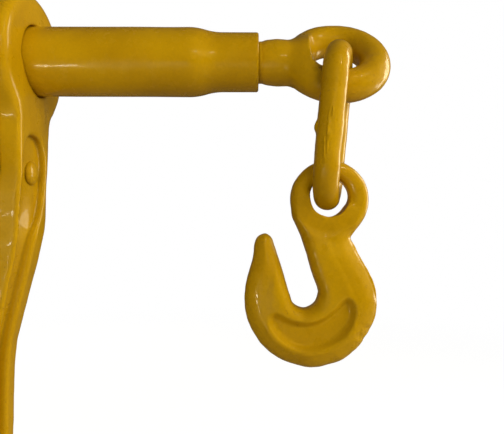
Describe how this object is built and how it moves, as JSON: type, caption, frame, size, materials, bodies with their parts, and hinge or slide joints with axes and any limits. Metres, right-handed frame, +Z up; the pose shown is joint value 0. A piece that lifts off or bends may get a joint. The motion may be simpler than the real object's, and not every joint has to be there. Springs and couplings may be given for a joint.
{
  "type": "ratchet load binder",
  "caption": "Ratchet load binder: a tube barrel with an eye screw, chain link and grab hook at each end, and a long ratchet lever on its middle.",
  "frame": {"origin": "middle of the bounding box, which lies on the mid-plane of the barrel, 159.5 mm below the barrel's axis", "axes": "+X along the barrel towards the end with the right-hand thread, +Z up, lever hanging along -Z, the hooks' wide faces look along -Y and +Y"},
  "size_m": [0.3764, 0.062, 0.381],
  "materials": {
    "yellow_paint": "glossy ochre yellow paint with orange peel over a forged surface",
    "bare_steel": "bare machined steel with an oil film",
    "spring_steel": "dark oil-tempered spring wire"
  },
  "bodies": {
    "barrel": {"barrel": "yellow_paint", "ratchet_gear": "bare_steel", "gear_lock_pins": "bare_steel", "right_thrust_washer": "bare_steel", "left_thrust_washer": "bare_steel"},
    "handle": {"handle": "yellow_paint", "pawl_pin": "yellow_paint"},
    "pawl": {"pawl": "yellow_paint"},
    "detent": {"detent_plunger": "bare_steel", "detent_spring": "spring_steel"},
    "right_stop": {"right_stop_ring": "bare_steel"},
    "right_screw": {"right_eye_screw": "yellow_paint", "right_stop_pin": "bare_steel"},
    "right_link": {"right_link": "yellow_paint"},
    "right_hook": {"right_hook": "yellow_paint"},
    "left_stop": {"left_stop_ring": "bare_steel"},
    "left_screw": {"left_eye_screw": "yellow_paint", "left_stop_pin": "bare_steel"},
    "left_link": {"left_link": "yellow_paint"},
    "left_hook": {"left_hook": "yellow_paint"}
  },
  "joints": [
    {"name": "handle_swing", "type": "hinge", "parent": "barrel", "child": "handle", "pos_m": [0, 0, 0.1595], "axis": [1, 0, 0], "continuous": true},
    {"name": "pawl_flip", "type": "hinge", "parent": "handle", "child": "pawl", "pos_m": [0, 0, 0.1075], "axis": [1, 0, 0], "range_deg": [-10, 10]},
    {"name": "detent_plunger_travel", "type": "slide", "parent": "handle", "child": "detent", "axis": [0, 0, 1], "range_m": [-0.003, 0], "deforming": ["detent_spring"]},
    {"name": "right_screw_travel", "type": "slide", "parent": "barrel", "child": "right_stop", "axis": [1, 0, 0], "range_m": [0, 0.095]},
    {"name": "right_screw_turn", "type": "hinge", "parent": "right_stop", "child": "right_screw", "pos_m": [0, 0, 0.1595], "axis": [1, 0, 0], "range_deg": [0, 6840]},
    {"name": "right_link_swing", "type": "hinge", "parent": "right_screw", "child": "right_link", "pos_m": [0.1632, 0, 0.1595], "axis": [0, -0.7804, 0.6252], "range_deg": [-30, 210]},
    {"name": "right_hook_swing", "type": "hinge", "parent": "right_link", "child": "right_hook", "pos_m": [0.15808, -0.0108, 0.0962], "axis": [0, 1, 0], "range_deg": [-100, 100]},
    {"name": "left_screw_travel", "type": "slide", "parent": "barrel", "child": "left_stop", "axis": [-1, 0, 0], "range_m": [0, 0.095]},
    {"name": "left_screw_turn", "type": "hinge", "parent": "left_stop", "child": "left_screw", "pos_m": [0, 0, 0.1595], "axis": [1, 0, 0], "range_deg": [0, 6840]},
    {"name": "left_link_swing", "type": "hinge", "parent": "left_screw", "child": "left_link", "pos_m": [-0.1632, 0, 0.1595], "axis": [0, 0.7804, -0.6252], "range_deg": [-30, 210]},
    {"name": "left_hook_swing", "type": "hinge", "parent": "left_link", "child": "left_hook", "pos_m": [-0.15808, -0.0108, 0.0962], "axis": [0, -1, 0], "range_deg": [-100, 100]}
  ],
  "couplings": [
    {"joint": "right_screw_travel", "follows": "right_screw_turn", "m_per_rad": 0.00079577},
    {"joint": "left_screw_travel", "follows": "left_screw_turn", "m_per_rad": 0.00079577}
  ]
}
